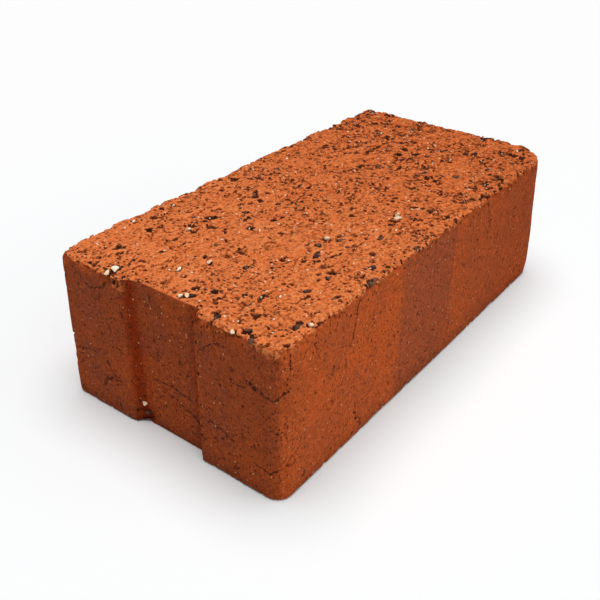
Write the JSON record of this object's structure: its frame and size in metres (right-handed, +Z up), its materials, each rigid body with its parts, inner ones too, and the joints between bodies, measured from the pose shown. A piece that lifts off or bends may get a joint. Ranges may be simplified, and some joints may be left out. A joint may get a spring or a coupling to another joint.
{
  "type": "concrete paving stone",
  "caption": "Rectangular red-brown concrete paving stone with a torn, pitted wearing face and a shallow upright channel in its end, banked on the far side.",
  "frame": {"origin": "middle of the bed, the face that the stone lies on", "axes": "+X along the length, away from the channelled end; +Z up, out of the wearing face; +Y across, towards the channel's sloping bank"},
  "size_m": [0.2, 0.1, 0.06],
  "materials": {
    "red_brown_concrete": "matte through-coloured concrete, torn and pitted on top, smoother and darker on its sides"
  },
  "bodies": {
    "root": {"paving_stone": "red_brown_concrete"}
  },
  "joints": []
}
